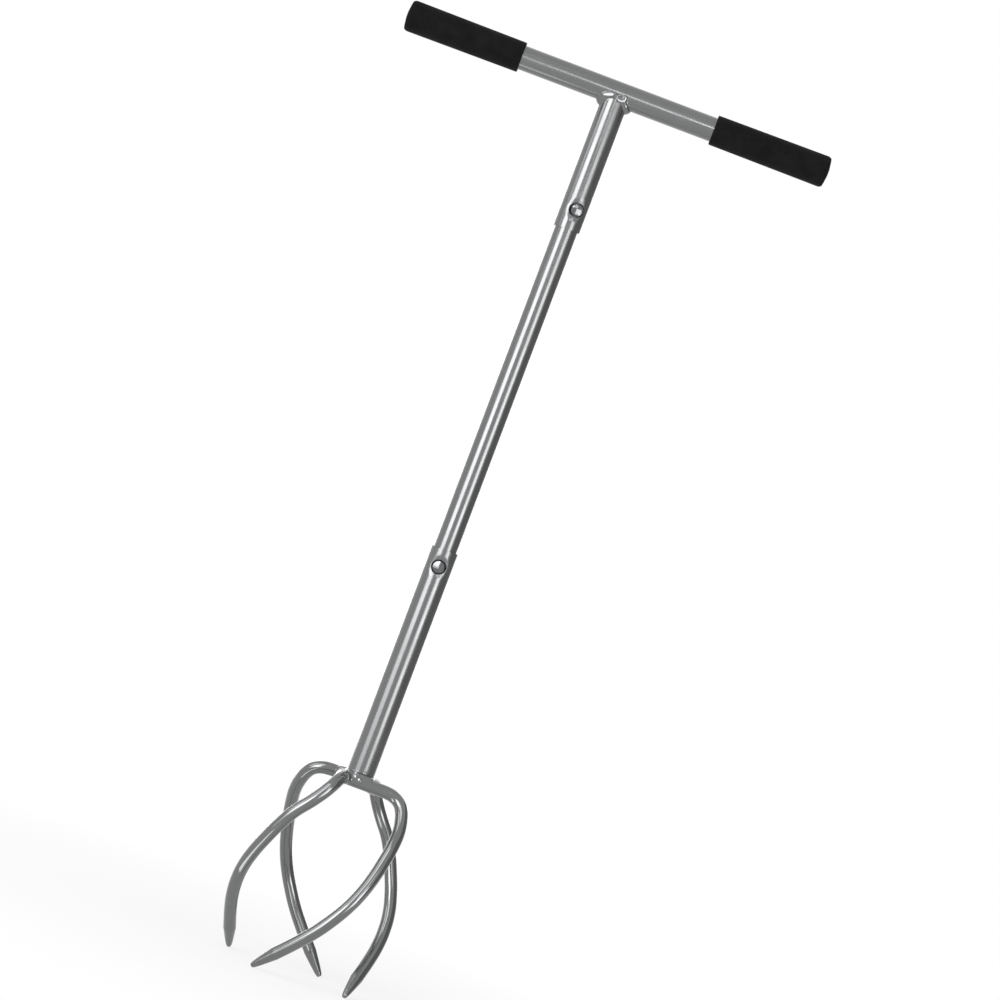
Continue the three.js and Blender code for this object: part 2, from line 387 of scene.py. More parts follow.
def make_tubes():
    """The upper and lower sockets, the middle shaft and the crossbar."""
    upper = socket_tube("upper_socket", "upper_tube", "upper_snap_button")
    upper.rotation_euler.z = CLIP_TURN
    hold(upper)
    upper = take("upper_socket")
    bpy.ops.mesh.primitive_cylinder_add(
        vertices=TUBE_SIDES,
        radius=CROSSBAR_RADIUS + SEAT_GAP / 2,
        depth=SOCKET_RADIUS * 4,
        location=(0, 0, CROSSBAR_HEIGHT),
        rotation=(0, math.pi / 2, 0),
    )
    cut_with(upper, take("notch"))
    lower = socket_tube("lower_socket", "lower_tube", "lower_snap_button")
    middle = tube_blank("middle_shaft", "middle_tube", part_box("middle_tube")[1].x, MIDDLE_WALL)
    for button, turn in (("upper_snap_button", CLIP_TURN), ("lower_snap_button", 0)):
        height = button_height(button)
        add_rings(middle, near_rings(height)[::3])
        punch_hole(middle, height, HOLE_RADIUS, turn)
    crossbar = tube_blank("crossbar", "crossbar_tube", CROSSBAR_RADIUS, CROSSBAR_WALL, along="X")
    for piece in (upper, lower, middle, crossbar):
        round_edges(piece, RIM_ROUND)
        smooth(piece)
    return upper, lower, middle, crossbar


# Grips


def foam_grip(name, node):
    """The grip on the +X side: a thick sleeve with a square mouth and a closed, rounded end."""
    low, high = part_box(node)
    middle = (low + high) / 2
    length = high.x - low.x
    bpy.ops.mesh.primitive_cylinder_add(
        vertices=TUBE_SIDES,
        radius=MOUTH_RADIUS,
        depth=length,
        location=middle,
        rotation=(0, math.pi / 2, 0),
    )
    piece = take(name)
    end = high.x - length * END_SHARE
    swell = END_RADIUS / MOUTH_RADIUS
    pick(piece, lambda at: at.x > end)
    bpy.ops.transform.resize(
        value=(1, swell, swell), center_override=(high.x, middle.y, middle.z)
    )
    close()
    pick(piece, lambda at: at.x > end, "EDGE")
    bpy.ops.mesh.bevel(offset=END_ROUND, segments=12, profile=0.5)
    close()
    pick(piece, lambda at: at.x > high.x - NEAR, "FACE")
    for _ in range(END_INSETS):
        bpy.ops.mesh.inset(thickness=END_INSET)
    close()
    flat = END_RADIUS - END_ROUND
    for share in END_CROWN_SHARES:
        within = flat * share
        pick(
            piece,
            lambda at: at.x > high.x - END_BAND and math.hypot(at.y, at.z - middle.z) > within,
        )
        bpy.ops.transform.translate(value=(-END_CROWN, 0, 0))
        close()
    mouth = low.x + length * END_SHARE
    pick(piece, lambda at: at.x < mouth, "FACE")
    bpy.ops.mesh.inset(thickness=MOUTH_RADIUS - GRIP_BORE)
    bpy.ops.mesh.extrude_region_move(
        TRANSFORM_OT_translate={"value": (length - END_WALL, 0, 0)}
    )
    close()
    pick(piece, lambda at: at.x < mouth, "EDGE")
    bpy.ops.mesh.bevel(offset=MOUTH_ROUND, segments=5, profile=0.5)
    close()
    smooth(piece, 40)
    return piece


def make_grips():
    right = foam_grip("foam_grip_right", "grip_right")
    return right, twin(right, "foam_grip_left", turn=math.pi)


# Snap buttons


def domed_button(name, node):
    """A pressed steel button: a low dome with a round shoulder on a straight skirt."""
    low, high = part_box(node)
    middle = (low + high) / 2
    radius = (high.x - low.x) / 2
    seat = low.y + DOME_CURVE - math.sqrt(DOME_CURVE**2 - radius**2)
    bpy.ops.mesh.primitive_uv_sphere_add(
        segments=DOME_SIDES,
        ring_count=DOME_RINGS,
        radius=DOME_CURVE,
        location=(middle.x, low.y + DOME_CURVE, middle.z),
        rotation=(math.pi / 2, 0, 0),
    )
    piece = take(name)
    bpy.ops.object.mode_set(mode="EDIT")
    bpy.ops.mesh.select_all(action="SELECT")
    bpy.ops.mesh.bisect(
        plane_co=(0, seat, 0), plane_no=(0, 1, 0), clear_outer=True, threshold=0.001 * MM
    )
    close()
    pick(piece, lambda at: at.y > seat - NEAR, "EDGE")
    bpy.ops.mesh.extrude_region_move(
        TRANSFORM_OT_translate={"value": (0, high.y - seat, 0)}
    )
    bpy.ops.mesh.fill()
    close()
    pick(piece, lambda at: abs(at.y - seat) < NEAR, "EDGE")
    bpy.ops.mesh.bevel(offset=DOME_SHOULDER, segments=8, profile=0.5)
    close()
    smooth(piece, 50)
    return piece


def tip_top(piece, node, angle, axis):
    """Tip the top of a button that faces the front, against its skirt."""
    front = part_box(node)[0].y
    pick(piece, lambda at: at.y < front + TOP_DEPTH)
    bpy.ops.transform.rotate(
        value=angle,
        orient_axis=axis,
        center_override=(0, front + TOP_PIVOT, button_height(node)),
    )
    bpy.ops.transform.translate(value=(0, abs(angle) * TOP_SHIFT_MM * MM, 0))
    close()


def make_buttons():
    """Both tops look down a little in their holes, and the lower one also to the left."""
    lower = domed_button("lower_button_dome", "lower_snap_button")
    tip_top(lower, "lower_snap_button", -DOME_NOD, "X")
    rise = button_height("upper_snap_button") - button_height("lower_snap_button")
    upper = twin(lower, "upper_button_dome", turn=CLIP_TURN, shift=(0, 0, rise))
    tip_top(lower, "lower_snap_button", LOWER_DOME_TURN, "Z")
    return upper, lower


def folded_leaf(name):
    """A steel strip folded over: a half pipe, drawn up into two legs that spread and then run straight."""
    bpy.ops.mesh.primitive_cylinder_add(
        vertices=LEAF_SIDES,
        radius=LEAF_FOLD,
        depth=LEAF_WIDTH,
        end_fill_type="NOTHING",
        rotation=(0, math.pi / 2, 0),
    )
    leaf = take(name)
    pick(leaf, lambda at: at.z > NEAR)
    bpy.ops.mesh.delete(type="VERT")
    close()
    spread = LEAF_LENGTH - LEAF_FLAT - LEAF_FOLD
    pick(leaf, lambda at: at.z > -NEAR, "EDGE")
    bpy.ops.mesh.extrude_region_move(TRANSFORM_OT_translate={"value": (0, 0, spread)})
    bpy.ops.transform.resize(value=(1, LEAF_REACH / LEAF_FOLD, 1), center_override=(0, 0, spread))
    bpy.ops.mesh.extrude_region_move(TRANSFORM_OT_translate={"value": (0, 0, LEAF_FLAT)})
    close()
    pick(leaf, lambda at: abs(at.z - spread) < NEAR, "EDGE")
    bpy.ops.mesh.bevel(offset=LEAF_BEND, segments=6)
    close()
    finish_with(leaf, "SOLIDIFY", thickness=LEAF_THICKNESS, offset=0)
    round_edges(leaf, LEAF_EDGE_ROUND, segments=2)
    pick(leaf, lambda at: True)
    bpy.ops.mesh.normals_make_consistent(inside=False)
    close()
    smooth(leaf, 40)
    leaf.location.z = LEAF_FOLD + LEAF_FLAT / 2 - LEAF_LENGTH
    return take(name)


def make_springs():
    """The upper clip's fold points down and the lower one's up."""
    upper = folded_leaf("upper_leaf_spring")
    lower = twin(upper, "lower_leaf_spring")
    upper.rotation_euler.z = CLIP_TURN
    upper.location.z = button_height("upper_snap_button")
    lower.rotation_euler.y = math.pi
    lower.location.z = button_height("lower_snap_button")
    for leaf in (upper, lower):
        hold(leaf)
        take(leaf.name)
    return upper, lower


def bend_with_button(leaf, end, finish):
    """Give a leaf spring its finish, put its place into its mesh, and hide the spring's plain solid."""
    dress(leaf, finish)
    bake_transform(leaf)
    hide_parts(f"{end}_snap_spring")


# Tines


def tine_points():
    """The centreline of the tine whose root runs along +X in front of the shaft, and its thickness there."""
    start = BAR_RADIUS + SEAT_GAP - ROOT_OFFSET
    roots = [start, *(share * CURL_REACH for share in ROOT_SHARES)]
    points = [Vector((x, -ROOT_OFFSET, ROOT_HEIGHT)) for x in roots]
    for out, side, down in CURL_SHARES:
        place = (out * CURL_REACH, -side * CURL_REACH, ROOT_HEIGHT - down * CURL_DROP)
        points.append(Vector(place))
    heading = (points[-1] - points[-2]).normalized()
    sizes = [1] * len(points)
    tip = points[-1] + heading * POINT_LENGTH
    for before, share in POINT_ROUND_SHARES:
        points.append(tip - heading * before * POINT_RADIUS)
        sizes.append(share * POINT_RADIUS / BAR_RADIUS)
    return points, sizes


def curled_bar(name):
    """A round bar bent along its centreline, with its last stretch drawn down to a blunt cone."""
    points, sizes = tine_points()
    bpy.ops.curve.primitive_bezier_curve_add()
    bar = bpy.context.active_object
    bar.location = (0, 0, 0)
    line = bar.data
    line.dimensions = "3D"
    line.twist_mode = "MINIMUM"
    line.resolution_u = BAR_STEPS
    line.bevel_depth = BAR_RADIUS
    line.bevel_resolution = BAR_STEPS
    line.use_fill_caps = True
    spline = line.splines[0]
    spline.radius_interpolation = "LINEAR"
    spline.bezier_points.add(len(points) - len(spline.bezier_points))
    for knot, place, size in zip(spline.bezier_points, points, sizes):
        knot.co = place
        knot.handle_left_type = "AUTO"
        knot.handle_right_type = "AUTO"
        knot.radius = size
    hold(bar)
    bpy.ops.object.convert(target="MESH")
    piece = take(name)
    bpy.ops.object.mode_set(mode="EDIT")
    bpy.ops.mesh.select_all(action="SELECT")
    bpy.ops.mesh.remove_doubles(threshold=NEAR)
    bpy.ops.mesh.normals_make_consistent(inside=False)
    close()
    smooth(piece, 40)
    return piece


def four_round(first, name):
    """A piece and its three copies, a quarter turn apart round the shaft's axis."""
    return [first] + [twin(first, f"{name}_{n}", turn=(n - 1) * math.pi / 2) for n in (2, 3, 4)]


def make_tines():
    return four_round(curled_bar("curled_tine_1"), "curled_tine")


# Welds


def uneven(n):
    """A hand-laid bead's lumps aren't all of one size."""
    return 1 + 0.05 * math.sin(2.4 * n)


def lump(place, out, along, sizes):
    """How a lump lies and how large it is, with its Z axis out of the weld and its X axis along it."""
    out = out.normalized()
    along = (along - out * along.dot(out)).normalized()
    turn = Matrix((along, out.cross(along), out)).transposed().to_4x4()
    return Matrix.Translation(place) @ turn @ Matrix.Diagonal((*sizes, 1))


def seam_lumps(count, branch, run, least, leg, crown):
    """Lumps along the seam where a branch tube along Z meets, from below, a run tube along X."""
    lumps = []
    for n in range(count):
        angle = 2 * math.pi * n / count
        front = math.sin(angle) ** 2
        size = (leg + (crown - leg) * front) * uneven(n)
        drop = math.sqrt(max(run**2 - (branch * math.sin(angle)) ** 2, least**2))
        branch_out = Vector((math.cos(angle), math.sin(angle), 0))
        place = branch * branch_out + Vector((0, 0, -drop))
        run_out = Vector((0, place.y, place.z)).normalized()
        out = (branch_out + run_out).normalized()
        lift = size * (0.3 - 0.4 * front)
        sizes = (1.3 * 2 * math.pi * branch / count, max(0.6 * size, 0.7 * crown), 0.45 * size)
        lumps.append(lump(place + out * lift, out, branch_out.cross(run_out), sizes))
    return lumps


def facing(bearing, height):
    """The direction that looks so far to the right of the front, and so far up, both in degrees."""
    right, up = math.radians(bearing), math.radians(height)
    return Vector((math.sin(right) * math.cos(up), -math.cos(right) * math.cos(up), math.sin(up)))


def dab(place, out, sizes, lean=0.0):
    """A lump on a weld's front. Its long side leans by an angle from level, with its right end up."""
    along = Vector((math.cos(lean), 0, math.sin(lean)))
    return lump(Vector(place) * MM, out, along, Vector(sizes) * MM)


def melt(parts, name, lumps, rounds):
    """Join pieces and lumps, and let them flow together as molten metal does."""
    parts = list(parts)
    for lay in lumps:
        bpy.ops.mesh.primitive_ico_sphere_add(subdivisions=3, radius=1)
        parts.append(bpy.context.active_object)
        parts[-1].matrix_world = lay
    hold(*parts)
    if len(parts) > 1:
        bpy.ops.object.join()
    piece = take(name)
    finish_with(piece, "REMESH", mode="VOXEL", voxel_size=BEAD_GRAIN, adaptivity=0)
    finish_with(piece, "SMOOTH", factor=0.5, iterations=rounds)
    return piece


def blended_bead(name, lumps, dabs, neighbours, low, high, flow=BEAD_FLOW):
    """A bead that flows into the pieces it joins, inside a block of space, with small dabs on it."""
    bpy.ops.mesh.primitive_cube_add(size=1, location=(low + high) / 2, scale=high - low)
    block = take("block")
    stubs = []
    for neighbour in neighbours:
        stub = twin(neighbour, "stub")
        finish_with(stub, "BOOLEAN", object=block, operation="INTERSECT", solver="EXACT")
        finish_with(stub, "DISPLACE", strength=-BEAD_SINK, mid_level=0)
        stubs.append(stub)
    bpy.data.objects.remove(block)
    piece = melt(stubs, name, lumps, flow)
    if dabs:
        piece = melt([piece], name, dabs, DAB_FLOW)
    smooth(piece, 80)
    return piece


def ridge_dabs():
    """Small lumps in a row along a curved line, which melt into one ridge."""
    out = Vector(RIDGE_OUT)
    dabs = []
    for (x, z), (next_x, next_z) in zip(RIDGE_LINE, RIDGE_LINE[1:]):
        steps = round(math.hypot(next_x - x, next_z - z) / RIDGE_STEP)
        lean = math.atan2(next_z - z, next_x - x)
        for n in range(steps):
            across = x + (next_x - x) * n / steps
            up = z + (next_z - z) * n / steps
            place = (across, -13.4 + 0.287 * (across - 6) - 0.118 * (up + 5), up)
            dabs.append(dab(place, out, RIDGE_LUMP, lean))
    return dabs


def handle_bead(upper, crossbar):
    """The bead between the upper socket and the crossbar: a long dab on its left, a ridge on its right."""
    axis = Vector((0, 0, CROSSBAR_HEIGHT))
    leg, crown = HANDLE_WELD_LEG, HANDLE_WELD_CROWN
    lumps = seam_lumps(HANDLE_LUMPS, SOCKET_RADIUS, CROSSBAR_RADIUS, EAR_DROP, leg, crown)
    left = Vector((-0.31, -0.95, -0.08))
    dabs = [
        dab((-8.3, -13.2, -5.2), left, (7.4, 3, 0.9), math.radians(17)),
        dab((-9.8, -11.8, -8), left, (1.8, 1.5, 1)),
        dab((-0.3, -14.2, -3.8), Vector((0, -1, 0)), (1.8, 1.5, 0.5)),
        *ridge_dabs(),
    ]
    lumps = [Matrix.Translation(axis) @ lay for lay in lumps]
    dabs = [Matrix.Translation(axis) @ lay for lay in dabs]
    reach = SOCKET_RADIUS + 1.5 * HANDLE_WELD_LEG
    low = axis - Vector((reach, reach, reach))
    high = axis + Vector((reach, reach, CROSSBAR_RADIUS * 0.7))
    return blended_bead("handle_bead", lumps, dabs, (upper, crossbar), low, high)


def foot_bead(lower, tines):
    """The bead round the foot of the lower socket, on the tines' roots. At the front it fills the step."""
    lumps = []
    foot = Vector((0, 0, FOOT_HEIGHT))
    for n in range(FOOT_LUMPS):
        angle = 2 * math.pi * n / FOOT_LUMPS
        side = Vector((math.cos(angle), math.sin(angle), 0))
        place = foot + side * (SOCKET_RADIUS + 0.7 * MM) + Vector((0, 0, 0.2 * MM))
        sizes = Vector((FOOT_LUMP_LENGTH, 2.5, 0.9)) * MM * uneven(n)
        lumps.append(lump(place, side + Vector((0, 0, 1)), Vector((-side.y, side.x, 0)), sizes))
    for n in range(-4, 5):
        for y, z, across, out, tilt in FRONT_FILL:
            place = foot + Vector((FRONT_FILL_STEP * n, y, z)) * MM
            sizes = Vector((FOOT_LUMP_LENGTH, across, out)) * MM
            lumps.append(lump(place, facing(0, tilt), Vector((1, 0, 0)), sizes))
    dabs = [dab(place, facing(*look), sizes) for place, look, sizes in FOOT_DABS]
    dabs = [Matrix.Translation(foot) @ lay for lay in dabs]
    reach = ROOT_OFFSET + BAR_RADIUS + 1 * MM
    low = foot - Vector((reach, reach, 9 * MM))
    high = foot + Vector((reach, reach, 12 * MM))
    return blended_bead("foot_bead", lumps, dabs, (lower, *tines), low, high, FOOT_FLOW)


def corner_bead(tines):
    """The bead where the first tine's root ends against the side of its neighbour's."""
    least = BAR_RADIUS + SEAT_GAP - CORNER_WELD_LEG / 2
    leg, crown = CORNER_WELD_LEG, CORNER_WELD_CROWN
    lumps = seam_lumps(CORNER_LUMPS, BAR_RADIUS, BAR_RADIUS, least, leg, crown)
    corner = Vector((-ROOT_OFFSET, -ROOT_OFFSET, ROOT_HEIGHT))
    lay = (
        Matrix.Translation(corner)
        @ Matrix.Rotation(-math.pi / 2, 4, "Y")
        @ Matrix.Rotation(math.pi / 2, 4, "Z")
    )
    lumps = [lay @ at for at in lumps]
    middle = Vector((*CORNER_MIDDLE, ROOT_HEIGHT))
    room = Vector(CORNER_ROOM) * MM
    low = middle - room
    high = middle + room
    return blended_bead("corner_bead_1", lumps, [], tines, low, high, CORNER_FLOW)


# Finishes


def new_finish(name):
    finish = bpy.data.materials.new(name)
    finish.use_nodes = True
    tree = finish.node_tree
    shader = tree.nodes["Principled BSDF"]
    place = tree.nodes.new("ShaderNodeTexCoord")
    place.location = (-1200, 0)
    return finish, tree, shader, place.outputs["Object"]


def bare_finish(name):
    """A finish with nothing in it yet."""
    finish = bpy.data.materials.new(name)
    finish.use_nodes = True
    finish.node_tree.nodes.clear()
    return finish, finish.node_tree


def add_node(tree, kind, place, **settings):
    node = tree.nodes.new(kind)
    node.location = place
    for name, value in settings.items():
        setattr(node, name, value)
    return node


def stretched(tree, vector, scale, place=(-1000, 0)):
    """A pattern's coordinates, stretched by different amounts along the three axes."""
    mapping = add_node(tree, "ShaderNodeMapping", place)
    mapping.inputs["Scale"].default_value = scale
    tree.links.new(vector, mapping.inputs["Vector"])
    return mapping.outputs["Vector"]


def noise_group(name, detail, roughness):
    """A noise pattern brought between two values."""
    group = bpy.data.node_groups.new(name, "ShaderNodeTree")
    sockets = group.interface
    sockets.new_socket("Vector", in_out="INPUT", socket_type="NodeSocketVector")
    for title, value in (("Scale", 100.0), ("Low", 0.0), ("High", 1.0)):
        socket = sockets.new_socket(title, in_out="INPUT", socket_type="NodeSocketFloat")
        socket.default_value = value
    sockets.new_socket("Value", in_out="OUTPUT", socket_type="NodeSocketFloat")
    given = add_node(group, "NodeGroupInput", (-600, 0))
    noise = add_node(group, "ShaderNodeTexNoise", (-400, 0))
    noise.inputs["Detail"].default_value = detail
    noise.inputs["Roughness"].default_value = roughness
    spread = add_node(group, "ShaderNodeMapRange", (-200, 0))
    spread.inputs["From Min"].default_value = 0.3
    spread.inputs["From Max"].default_value = 0.7
    result = add_node(group, "NodeGroupOutput", (0, 0))
    group.links.new(given.outputs["Vector"], noise.inputs["Vector"])
    group.links.new(given.outputs["Scale"], noise.inputs["Scale"])
    group.links.new(noise.outputs["Fac"], spread.inputs["Value"])
    group.links.new(given.outputs["Low"], spread.inputs["To Min"])
    group.links.new(given.outputs["High"], spread.inputs["To Max"])
    group.links.new(spread.outputs["Result"], result.inputs["Value"])
    return group


def edge_rub_group():
    """Where an edge is sharp enough for the finish on it to be rubbed thin."""
    group = bpy.data.node_groups.new("edge_rub", "ShaderNodeTree")
    sockets = group.interface
    sockets.new_socket("Vector", in_out="INPUT", socket_type="NodeSocketVector")
    socket = sockets.new_socket("Amount", in_out="INPUT", socket_type="NodeSocketFloat")
    socket.default_value = 0.5
    sockets.new_socket("Mask", in_out="OUTPUT", socket_type="NodeSocketFloat")
    given = add_node(group, "NodeGroupInput", (-800, 0))
    shape = add_node(group, "ShaderNodeNewGeometry", (-800, 200))
    sharp = add_node(group, "ShaderNodeMapRange", (-600, 200))
    sharp.inputs["From Min"].default_value = 0.52
    sharp.inputs["From Max"].default_value = 0.62
    patch = add_node(group, "ShaderNodeTexNoise", (-600, -100))
    patch.inputs["Scale"].default_value = 300
    broken = add_node(group, "ShaderNodeMath", (-400, 100), operation="MULTIPLY")
    strength = add_node(group, "ShaderNodeMath", (-200, 100), operation="MULTIPLY")
    result = add_node(group, "NodeGroupOutput", (0, 0))
    group.links.new(given.outputs["Vector"], patch.inputs["Vector"])
    group.links.new(shape.outputs["Pointiness"], sharp.inputs["Value"])
    group.links.new(sharp.outputs["Result"], broken.inputs[0])
    group.links.new(patch.outputs["Fac"], broken.inputs[1])
    group.links.new(broken.outputs["Value"], strength.inputs[0])
    group.links.new(given.outputs["Amount"], strength.inputs[1])
    group.links.new(strength.outputs["Value"], result.inputs["Mask"])
    return group


def place_group(tree, group, place, vector, **values):
    node = add_node(tree, "ShaderNodeGroup", place, node_tree=group)
    tree.links.new(vector, node.inputs["Vector"])
    for name, value in values.items():
        node.inputs[name].default_value = value
    return node.outputs[0]


def two_tones(tree, mask, first, second, place=(-300, 200)):
    """A colour that runs between two, by a mask."""
    ramp = add_node(tree, "ShaderNodeValToRGB", place)
    ramp.color_ramp.elements[0].color = (*first, 1)
    ramp.color_ramp.elements[1].color = (*second, 1)
    tree.links.new(mask, ramp.inputs["Fac"])
    return ramp.outputs["Color"]


def mixed(tree, mask, base, top, place):
    mix = add_node(tree, "ShaderNodeMix", place, data_type="RGBA")
    tree.links.new(mask, mix.inputs["Factor"])
    tree.links.new(base, mix.inputs["A"])
    mix.inputs["B"].default_value = (*top, 1)
    return mix.outputs["Result"]


def bump(tree, shader, height, distance, strength=1.0, under=None, place=(-300, -400)):
    node = add_node(tree, "ShaderNodeBump", place)
    node.inputs["Strength"].default_value = strength
    node.inputs["Distance"].default_value = distance
    tree.links.new(height, node.inputs["Height"])
    if under is not None:
        tree.links.new(under, node.inputs["Normal"])
    tree.links.new(node.outputs["Normal"], shader.inputs["Normal"])
    return node.outputs["Normal"]


def metal_paint(name, groups, tone, along, gloss=(0.16, 0.26), line=0.004 * MM):
    """Grey metallic paint. The steel's drawing lines, which run along the piece, show through it."""
    finish, tree, shader, here = new_finish(name)
    lengthwise = stretched(tree, here, along)
    lines = place_group(tree, groups["lines"], (-700, 300), lengthwise, Scale=1.0)
    cloud = place_group(tree, groups["mottle"], (-700, 0), here, Scale=60.0, Low=0.3, High=0.7)
    peel = place_group(tree, groups["mottle"], (-700, -500), here, Scale=900.0)
    rub = place_group(tree, groups["rub"], (-700, 600), here, Amount=0.6)
    both = add_node(tree, "ShaderNodeMath", (-500, 200), operation="MULTIPLY")
    tree.links.new(lines, both.inputs[0])
    tree.links.new(cloud, both.inputs[1])
    dark = tuple(0.93 * part for part in tone)
    light = tuple(1.06 * part for part in tone)
    coat = two_tones(tree, both.outputs["Value"], dark, light)
    worn = mixed(tree, rub, coat, tuple(1.5 * part for part in tone), (-100, 300))
    tree.links.new(worn, shader.inputs["Base Color"])
    smear = place_group(
        tree, groups["mottle"], (-700, -250), here, Scale=35.0, Low=gloss[0], High=gloss[1]
    )
    tree.links.new(smear, shader.inputs["Roughness"])
    shader.inputs["Metallic"].default_value = 0.9
    shader.inputs["Coat Weight"].default_value = 0.3
    shader.inputs["Coat Roughness"].default_value = 0.08
    ripple = bump(tree, shader, lines, line, place=(-400, -300))
    bump(tree, shader, peel, 0.002 * MM, under=ripple, place=(-200, -400))
    return finish


def chrome_plate(groups):
    finish, tree, shader, here = new_finish("bright_plate")
    cloud = place_group(tree, groups["mottle"], (-700, 0), here, Scale=250.0)
    tone = two_tones(tree, cloud, (0.13, 0.132, 0.135), (0.17, 0.172, 0.175))
    tree.links.new(tone, shader.inputs["Base Color"])
    smear = place_group(tree, groups["mottle"], (-700, -250), here, Scale=400.0, Low=0.04, High=0.12)
    tree.links.new(smear, shader.inputs["Roughness"])
    shader.inputs["Metallic"].default_value = 1
    return finish


def spring_steel(groups):
    finish, tree, shader, here = new_finish("spring_steel")
    lengthwise = stretched(tree, here, (2500, 2500, 60))
    lines = place_group(tree, groups["lines"], (-700, 300), lengthwise, Scale=1.0)
    # The steel's tone is kept very dark as painted shade for the gap round each snap button, where the leaf
    # shows through.
    tone = two_tones(tree, lines, (0.035, 0.037, 0.042), (0.06, 0.062, 0.066))
    tree.links.new(tone, shader.inputs["Base Color"])
    smear = place_group(tree, groups["mottle"], (-700, -250), here, Scale=300.0, Low=0.25, High=0.4)
    tree.links.new(smear, shader.inputs["Roughness"])
    shader.inputs["Metallic"].default_value = 1
    bump(tree, shader, lines, 0.01 * MM)
    return finish


def grip_foam(groups):
    """Black closed-cell foam: a fine pebbled skin with a dull sheen."""
    finish, tree, shader, here = new_finish("grip_foam")
    cloud = place_group(tree, groups["mottle"], (-700, 200), here, Scale=45.0)
    tone = two_tones(tree, cloud, (0.0035, 0.0035, 0.0037), (0.0065, 0.0063, 0.0065))
    tree.links.new(tone, shader.inputs["Base Color"])
    smear = place_group(tree, groups["mottle"], (-700, -100), here, Scale=80.0, Low=0.72, High=0.9)
    tree.links.new(smear, shader.inputs["Roughness"])
    shader.inputs["Specular IOR Level"].default_value = 0.08
    shader.inputs["Sheen Weight"].default_value = 0.02
    shader.inputs["Sheen Roughness"].default_value = 0.5
    cells = add_node(tree, "ShaderNodeTexVoronoi", (-700, -400), feature="SMOOTH_F1")
    cells.inputs["Scale"].default_value = 1400
    tree.links.new(here, cells.inputs["Vector"])
    skin = bump(tree, shader, cells.outputs["Distance"], 0.12 * MM, place=(-400, -400))
    bump(tree, shader, cloud, 0.15 * MM, under=skin, place=(-200, -500))
    return finish


# Room


def seen_white(tree):
    """1 for the rays that see the white background: the camera's own, and those by way of metal or glass."""
    path = add_node(tree, "ShaderNodeLightPath", (-1000, 400))
    first = add_node(tree, "ShaderNodeMath", (-800, 400), operation="ADD")
    seen = add_node(tree, "ShaderNodeMath", (-600, 400), operation="ADD", use_clamp=True)
    tree.links.new(path.outputs["Is Camera Ray"], first.inputs[0])
    tree.links.new(path.outputs["Is Glossy Ray"], first.inputs[1])
    tree.links.new(first.outputs["Value"], seen.inputs[0])
    tree.links.new(path.outputs["Is Transmission Ray"], seen.inputs[1])
    return seen.outputs["Value"]


def make_floor():
    """A white floor. Away from the tool it is as bright as the white behind it."""
    bpy.ops.mesh.primitive_circle_add(vertices=96, radius=14, fill_type="NGON")
    floor = bpy.context.active_object
    floor.name = "floor"
    finish, tree = bare_finish("floor_white")
    matt = add_node(tree, "ShaderNodeBsdfDiffuse", (-200, 100))
    matt.inputs["Color"].default_value = (0.95, 0.95, 0.95, 1)
    glow = add_node(tree, "ShaderNodeEmission", (-200, -100))
    glow.inputs["Color"].default_value = (1, 1, 1, 1)
    seen = seen_white(tree)
    here = add_node(tree, "ShaderNodeTexCoord", (-1000, 0))
    away = add_node(tree, "ShaderNodeVectorMath", (-800, 0), operation="LENGTH")
    tree.links.new(here.outputs["Object"], away.inputs[0])
    fade = add_node(tree, "ShaderNodeMapRange", (-600, 0))
    fade.inputs["From Min"].default_value = 0.15
    fade.inputs["From Max"].default_value = 0.75
    fade.inputs["To Min"].default_value = 0.75
    fade.inputs["To Max"].default_value = 1
    tree.links.new(away.outputs["Value"], fade.inputs["Value"])
    share = add_node(tree, "ShaderNodeMath", (-200, 300), operation="MULTIPLY")
    tree.links.new(seen, share.inputs[0])
    tree.links.new(fade.outputs["Result"], share.inputs[1])
    blend = add_node(tree, "ShaderNodeMixShader", (0, 100))
    tree.links.new(share.outputs["Value"], blend.inputs["Fac"])
    tree.links.new(matt.outputs["BSDF"], blend.inputs[1])
    tree.links.new(glow.outputs["Emission"], blend.inputs[2])
    result = add_node(tree, "ShaderNodeOutputMaterial", (200, 100))
    tree.links.new(blend.outputs["Shader"], result.inputs["Surface"])
    floor.data.materials.append(finish)


def make_panel():
    """A dim grey sheet that stands on the tool's right, just outside the picture."""
    bpy.ops.mesh.primitive_plane_add(size=1, location=(2, 0.6, 1.2), rotation=(0, -math.pi / 2, 0))
    panel = bpy.context.active_object
    panel.name = "grey_panel"
    panel.scale = (3.2, 3.8, 1)
    finish, tree = bare_finish("panel_grey")
    glow = add_node(tree, "ShaderNodeEmission", (-200, 0))
    glow.inputs["Color"].default_value = (1, 1, 1, 1)
    glow.inputs["Strength"].default_value = 0.38
    result = add_node(tree, "ShaderNodeOutputMaterial", (0, 0))
    tree.links.new(glow.outputs["Emission"], result.inputs["Surface"])
    panel.data.materials.append(finish)
    panel.visible_camera = False


def make_air():
    """White all round, for the camera and in metal and glass, and a dimmer room that lights the tool."""
    world = bpy.data.worlds.new("room")
    bpy.context.scene.world = world
    world.use_nodes = True
    tree = world.node_tree
    tree.nodes.clear()
    room = add_node(tree, "ShaderNodeBackground", (-200, 0))
    room.inputs["Color"].default_value = (1, 1, 1, 1)
    room.inputs["Strength"].default_value = 0.4
    white = add_node(tree, "ShaderNodeBackground", (-200, -200))
    white.inputs["Color"].default_value = (1, 1, 1, 1)
    seen = seen_white(tree)
    blend = add_node(tree, "ShaderNodeMixShader", (0, 0))
    tree.links.new(seen, blend.inputs["Fac"])
    tree.links.new(room.outputs["Background"], blend.inputs[1])
    tree.links.new(white.outputs["Background"], blend.inputs[2])
    result = add_node(tree, "ShaderNodeOutputWorld", (200, 0))
    tree.links.new(blend.outputs["Shader"], result.inputs["Surface"])


